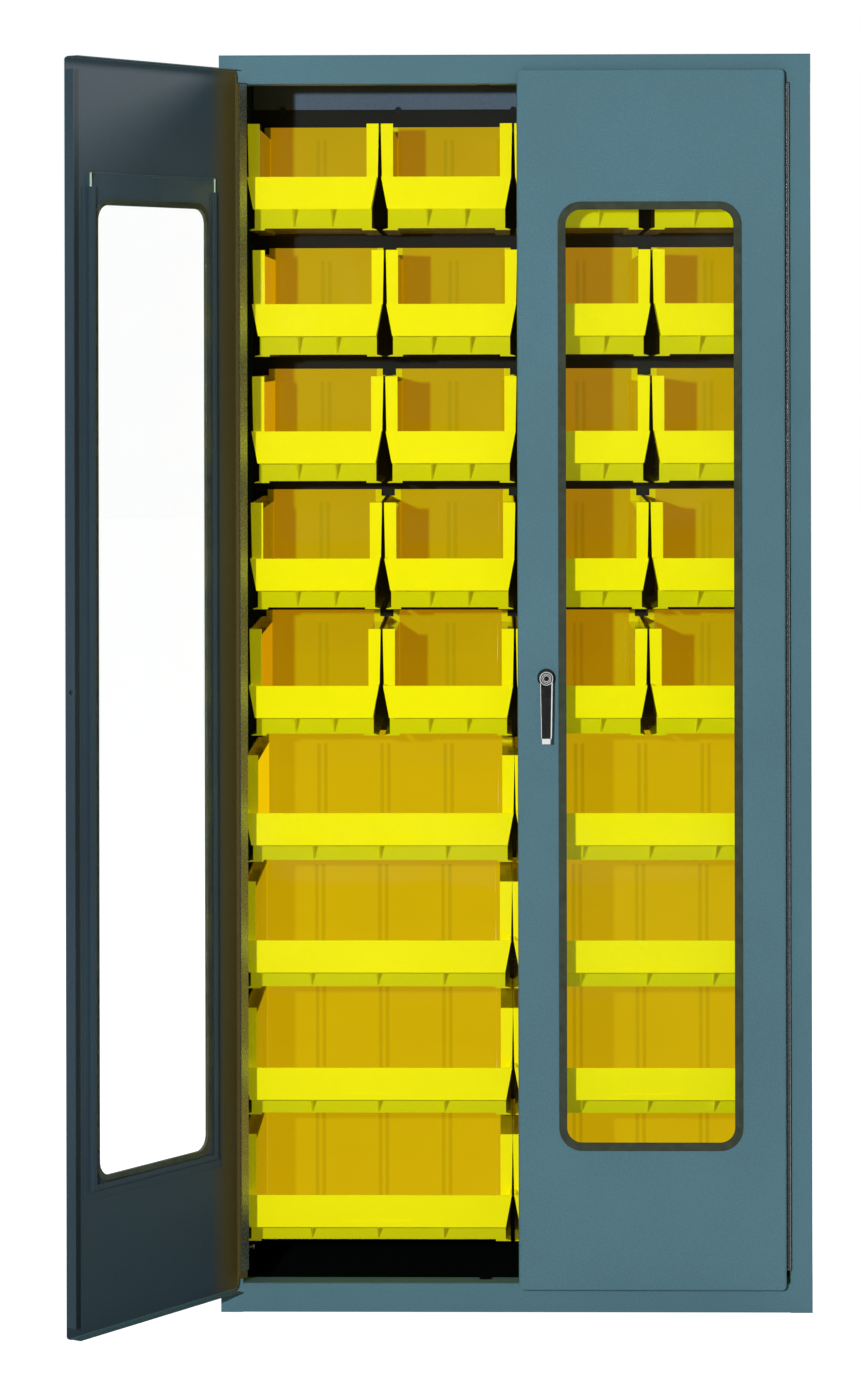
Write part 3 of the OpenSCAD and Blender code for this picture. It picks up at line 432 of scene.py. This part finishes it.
# each bin material carries a painted shade and a painted glow inside
small_plastic = bin_plastic("small_bin_plastic", box_size("small_bin_r1_c1"), YELLOW_INSIDE_SHADE, PAINTED_GLOW_INSIDE,
                            strip_pairs=(0.0,))
wide_plastic = bin_plastic("wide_bin_plastic", box_size("wide_bin_r6_c1"), WIDE_INSIDE_SHADE, WIDE_PAINTED_GLOW,
                           strip_pairs=(-WIDE_GUSSET, 0.0, WIDE_GUSSET))
gasket_rubber = rubber("gasket_rubber", RUBBER)
chrome = polished("chrome", CHROME, rough=0.05)
# painted highlight for the lever's rims and rings
satin_highlight = polished("satin_highlight", SATIN_HIGHLIGHT, rough=0.30, metallic=0.2)
hinge_steel = polished("hinge_steel", HINGE_STEEL, rough=0.22, metallic=0.9)
zinc = polished("zinc", ZINC, rough=0.28)
black = black_finish("black", BLACK)
clear_left = clear_sheet("clear_left", PANE_TINT, PANE_EDGE, left_normal)
clear_right = clear_sheet("clear_right", PANE_TINT, PANE_EDGE, (0, 1, 0))


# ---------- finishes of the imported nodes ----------

def round_edges(piece, radius, segments):
    weld = piece.modifiers.new("weld", "WELD")
    weld.merge_threshold = WELD_WITHIN
    flat = piece.modifiers.new("flat", "DECIMATE")
    flat.decimate_type = "DISSOLVE"
    flat.angle_limit = FLAT_WITHIN
    bevel = piece.modifiers.new("round", "BEVEL")
    bevel.width = radius
    bevel.segments = segments
    bevel.limit_method = "ANGLE"
    bevel.angle_limit = SHARP_OVER


def finish(names, material, soften=0.0, segments=2):
    """Gives each named node its material and, if asked, rounds its sharp edges."""
    for name in names:
        for slot in nodes[name].material_slots:
            slot.material = material
        if soften:
            round_edges(nodes[name], soften, segments)


def all_bins(kind):
    return [name for name in nodes if name.startswith(kind)]


def left_and_right(part):
    return ["left_" + part, "right_" + part]


finish(all_bins("small_bin"), small_plastic, soften=0.0006)
finish(all_bins("wide_bin"), wide_plastic, soften=0.0006)
finish([*left_and_right("side_panel"), "top_panel"], case_paint, soften=0.0006)
finish(["bottom_panel"], bottom_paint_floor_shade, soften=0.0006)
finish([*left_and_right("hinge_frame_leaf"), *left_and_right("hinge_door_leaf")], hinge_steel)
finish(["back_panel", "upper_back_strip"], inner_paint)
finish(["louver_panel"], louver_painted_shade)
finish(["left_door_pan"], left_door_paint, soften=0.0005)
finish(["right_door_pan"], right_door_paint, soften=0.0005)
finish(left_and_right("pane_track"), track_paint, soften=0.0003)
finish(left_and_right("gasket"), gasket_rubber, soften=0.0010, segments=3)
finish(["left_pane"], clear_left)
finish(["right_pane"], clear_right)
finish(["lever", "lock_plug"], chrome, soften=0.0006, segments=3)
finish(["handle_ring", "panel_screws"], black, soften=0.0004)
finish([*left_and_right("hinge_pin"), "jamb_pins", "handle_nut", "rod_guides", "latch_cam", "cam_nut",
        "upper_rod", "lower_rod"], zinc, soften=0.0003)


# ---------- small pieces ----------

def add_piece(name, material, body, slot, mesh_maker, *sizes, smooth=True):
    """A piece riding a body. mesh_maker fills a bmesh, from the sizes that it is given."""
    bm = bmesh.new()
    mesh_maker(bm, *sizes)
    bmesh.ops.recalc_face_normals(bm, faces=bm.faces)
    mesh = bpy.data.meshes.new(name)
    bm.to_mesh(mesh)
    bm.free()
    for polygon in mesh.polygons:
        polygon.use_smooth = smooth
    mesh.materials.append(material)
    piece = bpy.data.objects.new(name, mesh)
    bpy.context.scene.collection.objects.link(piece)
    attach(piece, body)


def lathe(bm, profile, centre, along, across, steps):
    """Turns a profile of (distance along, radius) round an axis through centre."""
    other = along.cross(across)
    turns = [2 * math.pi * k / steps for k in range(steps)]
    spokes = [across * math.cos(turn) + other * math.sin(turn) for turn in turns]
    rows = [[bm.verts.new(centre + along * distance + radius * spoke) for spoke in spokes]
            for distance, radius in profile]
    for a, b in zip(rows, rows[1:]):
        for k in range(steps):
            bm.faces.new((a[k], a[(k + 1) % steps], b[(k + 1) % steps], b[k]))


def round_rings(bm, face_y, rings):
    """Fine rings round the handle's axis, half sunk in the face that they stand on."""
    centre = Vector((HANDLE_X, face_y, HANDLE_Z))
    for radius, thickness in rings:
        profile = [(-thickness * math.sin(a), radius - thickness * math.cos(a)) for a in RING_ANGLES]
        lathe(bm, profile, centre, Vector((0, 1, 0)), Vector((1, 0, 0)), RING_STEPS)


def slab(bm, outline, front, back):
    """A flat plate between two depths. Its outline is measured across from the handle's axis."""
    rows = [[bm.verts.new((HANDLE_X + x, y, z)) for x, z in outline] for y in (front, back)]
    bm.faces.new(rows[0])
    bm.faces.new(rows[1])
    for k in range(len(outline)):
        m = (k + 1) % len(outline)
        bm.faces.new((rows[0][k], rows[0][m], rows[1][m], rows[1][k]))


def lever_rim(bm):
    """The bright raised rim of the lever's recessed arm and the face of its solid end."""
    front, back = lever_low.y - RIM_PROUD, lever_low.y + RIM_SUNK
    foot, top = lever_low.z + RIM_INSET, HANDLE_Z - RIM_BELOW_HUB
    foot_half = LEVER_END_HALF - RIM_INSET
    for side, width in ((-1, LEFT_RIM_W), (1, RIGHT_RIM_W)):
        slab(bm, [(side * RIM_TOP_HALF, top), (side * (RIM_TOP_HALF - width), top),
                  (side * (foot_half - width), foot), (side * foot_half, foot)], front, back)
    end_top, end_half = lever_low.z + END_FACE_H, foot_half + END_FACE_FLARE
    slab(bm, [(-foot_half, foot), (foot_half, foot), (end_half, end_top), (-end_half, end_top)],
         front, back)


def rivet_row(bm, x, y, outward):
    """Domed rivet heads up a hinge leaf."""
    for k in range(RIVETS):
        centre = Vector((x, y, RIVET_LOWEST + k * RIVET_PITCH))
        lathe(bm, RIVET_DOME, centre, outward, Vector((0, 0, 1)), RIVET_STEPS)


# the rims and rings carry the painted highlight
add_piece("lever_rim_trim", satin_highlight, "handle", "chrome", lever_rim, smooth=False)
add_piece("lever_hub_rings", satin_highlight, "handle", "chrome", round_rings, lever_low.y, HUB_RINGS)
add_piece("key_face_ring", satin_highlight, "key_plug", "chrome", round_rings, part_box("lock_plug")[0].y, KEY_RINGS)
for hand, inward in (("left", 1), ("right", -1)):
    leaf_low, leaf_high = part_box(hand + "_hinge_frame_leaf")
    face_x = (leaf_low.x if inward > 0 else leaf_high.x) + inward * LEAF_T
    add_piece(hand + "_hinge_rivets", zinc, "case", "plated_steel", rivet_row, face_x,
              leaf_high.y - RIVET_FROM_EDGE, Vector((inward, 0, 0)))


# ---------- stage, light and camera ----------

def stage_floor():
    """Pale floor that keeps the object's shadow and runs out into the white background. Mirrors and
    gloss see it white behind the front frame and dark in front of it, as in an unlit studio."""
    mesh = bpy.data.meshes.new("floor")
    half = FLOOR_HALF
    mesh.from_pydata([(-half, -half, 0), (half, -half, 0), (half, half, 0), (-half, half, 0)],
                     [], [(0, 1, 2, 3)])
    floor = bpy.data.objects.new("floor", mesh)
    bpy.context.scene.collection.objects.link(floor)
    n = Nodes("floor")
    tone = n.mix(ray_kinds(n.tree)["Is Glossy Ray"], STAGE_GREY, STAGE_IN_GLOSS)
    plain = new_node(n.tree, "BsdfDiffuse", Color=tone).outputs["BSDF"]
    shaded = new_node(n.tree, "BsdfDiffuse", Color=opaque(STAGE_SHADOW)).outputs["BSDF"]
    glow = new_node(n.tree, "Emission", Strength=STAGE_GLOW).outputs["Emission"]
    white = new_node(n.tree, "AddShader")
    feed(n.tree, white.inputs[0], shaded)
    feed(n.tree, white.inputs[1], glow)
    behind = n.math("GREATER_THAN", n.axes("Object")[1], FRONT_Y)
    seen = sees_backdrop(n.tree, behind)
    feed(n.tree, n.surface, mix_shaders(n.tree, seen, plain, white.outputs["Shader"]))
    n.tree.nodes.remove(n.shader)
    mesh.materials.append(n.material)


def world_light(ambient):
    """Soft fill from all round. The eye sees it white, and so do sheets that are looked through
    and metal that mirrors the backdrop's side."""
    world = bpy.data.worlds.new("studio")
    bpy.context.scene.world = world
    world.use_nodes = True
    tree = world.node_tree
    tree.nodes.clear()
    generated = new_node(tree, "TexCoord").outputs["Generated"]
    direction = new_node(tree, "SeparateXYZ", Vector=generated).outputs
    behind = math_node(tree, "GREATER_THAN", direction["Y"], 0.0)
    dim, white = (new_node(tree, "Background", Color=opaque(WHITE), Strength=strength).outputs[0]
                  for strength in (ambient, 1.0))
    new_node(tree, "OutputWorld", Surface=mix_shaders(tree, sees_backdrop(tree, behind), dim, white))


def area_light(name, place, target, size, power):
    data = bpy.data.lights.new(name, "AREA")
    data.shape = "DISK"
    data.size = size
    data.energy = power
    lamp = bpy.data.objects.new(name, data)
    bpy.context.scene.collection.objects.link(lamp)
    lamp.location = place
    lamp.rotation_euler = (Vector(target) - Vector(place)).to_track_quat("-Z", "Y").to_euler()
    return lamp


def on_side(side, place):
    """A place on the right, or mirrored to the left where side is -1."""
    return (side * place[0], *place[1:])


def lamps():
    """A small key gives the light and the crisp shadows, and a softbox round it gives the gloss.
    Two fills light the sides, the back and the top from behind the front frame."""
    area_light("key", KEY_PLACE, KEY_TARGET, KEY_SIZE, KEY_POWER).visible_glossy = False
    area_light("softbox", KEY_PLACE, KEY_TARGET, SOFTBOX_SIZE, SOFTBOX_POWER).visible_diffuse = False
    for name, side in (("fill_left", -1), ("fill_right", 1)):
        area_light(name, on_side(side, FILL_PLACE), on_side(side, FILL_TARGET), FILL_SIZE, FILL_POWER)


def photo_camera():
    """The photograph's viewpoint: level, turned a little, framed by a shift."""
    data = bpy.data.cameras.new("camera")
    camera = bpy.data.objects.new("camera", data)
    bpy.context.scene.collection.objects.link(camera)
    data.sensor_width = SENSOR
    data.sensor_fit = "AUTO"
    data.lens = FOCAL_PX / IMAGE_H * SENSOR
    data.shift_x = (IMAGE_W / 2 - PRINCIPAL_X) / IMAGE_H
    data.shift_y = (PRINCIPAL_Y - IMAGE_H / 2) / IMAGE_H
    data.clip_end = 100
    c, s = math.cos(CAMERA_TURN), math.sin(CAMERA_TURN)
    place = Vector((CAMERA_X * c + CAMERA_DISTANCE * s,
                    FRONT_Y + CAMERA_X * s - CAMERA_DISTANCE * c, CAMERA_Z))
    camera.matrix_world = (Matrix.Translation(place) @ Matrix.Rotation(CAMERA_TURN, 4, "Z")
                           @ Matrix.Rotation(math.pi / 2, 4, "X")
                           @ Matrix.Rotation(CAMERA_ROLL, 4, "Z"))
    bpy.context.scene.camera = camera


stage_floor()
world_light(AMBIENT)
lamps()
photo_camera()
bpy.context.scene.view_settings.view_transform = "Standard"
